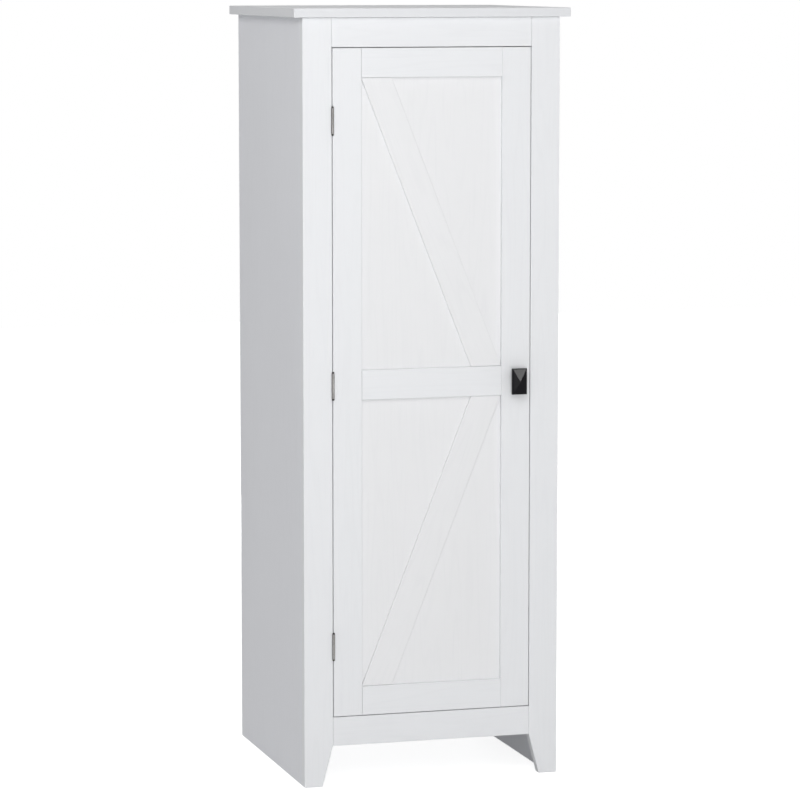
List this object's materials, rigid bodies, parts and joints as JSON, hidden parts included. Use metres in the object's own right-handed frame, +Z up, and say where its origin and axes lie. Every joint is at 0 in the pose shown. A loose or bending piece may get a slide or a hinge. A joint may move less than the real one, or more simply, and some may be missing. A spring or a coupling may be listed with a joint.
{
  "type": "storage cabinet",
  "caption": "Tall narrow white storage cabinet with a framed, braced door on butt hinges, a dark pyramid knob, tapered front feet, an overhanging top and shelves inside.",
  "frame": {"origin": "on the floor, in the middle of the whole cabinet seen from above, with its top and its knob", "axes": "+Z up; -Y is the front, where the door is; +X is to the right of someone who faces the door, so the hinges are at -X"},
  "size_m": [0.5, 0.4894, 1.362],
  "materials": {
    "white_foil": "board with a satin white foil, very fine embossed grain",
    "white_backing": "thin fibreboard, matt white on the inside",
    "white_plastic": "satin white plastic",
    "zinc": "bright zinc plated",
    "hinge_steel": "satin nickel plated",
    "black_metal": "satin black",
    "magnet_black": "matt black sintered magnet"
  },
  "bodies": {
    "cabinet": {"top_panel": "white_foil", "left_side_panel": "white_foil", "right_side_panel": "white_foil", "bottom_panel": "white_foil", "middle_shelf": "white_foil", "upper_shelf": "white_foil", "lower_shelf": "white_foil", "rear_top_rail": "white_foil", "upper_back_panel": "white_backing", "lower_back_panel": "white_backing", "back_joiner": "white_plastic", "left_stile": "white_foil", "right_stile": "white_foil", "front_top_rail": "white_foil", "front_bottom_rail": "white_foil", "lower_shelf_pin_front_left": "zinc", "lower_shelf_pin_front_right": "zinc", "lower_shelf_pin_rear_left": "zinc", "lower_shelf_pin_rear_right": "zinc", "upper_shelf_pin_front_left": "zinc", "upper_shelf_pin_front_right": "zinc", "upper_shelf_pin_rear_left": "zinc", "upper_shelf_pin_rear_right": "zinc", "bottom_cam_front_left": "zinc", "bottom_cam_front_right": "zinc", "bottom_cam_rear_left": "zinc", "bottom_cam_rear_right": "zinc", "middle_cam_front_left": "zinc", "middle_cam_front_right": "zinc", "middle_cam_rear_left": "zinc", "middle_cam_rear_right": "zinc", "top_cam_front_left": "zinc", "top_cam_front_right": "zinc", "top_cam_rear_left": "zinc", "top_cam_rear_right": "zinc", "upper_hinge_frame_leaf": "hinge_steel", "middle_hinge_frame_leaf": "hinge_steel", "lower_hinge_frame_leaf": "hinge_steel", "upper_hinge_pin": "hinge_steel", "middle_hinge_pin": "hinge_steel", "lower_hinge_pin": "hinge_steel", "catch_housing": "white_plastic", "catch_magnet": "magnet_black"},
    "door": {"door_hinge_stile": "white_foil", "door_knob_stile": "white_foil", "door_top_rail": "white_foil", "door_middle_rail": "white_foil", "door_bottom_rail": "white_foil", "door_upper_panel": "white_foil", "door_lower_panel": "white_foil", "door_upper_brace": "white_foil", "door_lower_brace": "white_foil", "upper_hinge_door_leaf": "hinge_steel", "middle_hinge_door_leaf": "hinge_steel", "lower_hinge_door_leaf": "hinge_steel", "knob": "black_metal", "knob_screw": "zinc", "strike_plate": "zinc"}
  },
  "joints": [
    {"name": "door_hinge", "type": "hinge", "parent": "cabinet", "child": "door", "pos_m": [-0.1803, -0.21915, 0.709], "axis": [0, 0, -1], "range_deg": [0, 180]}
  ]
}
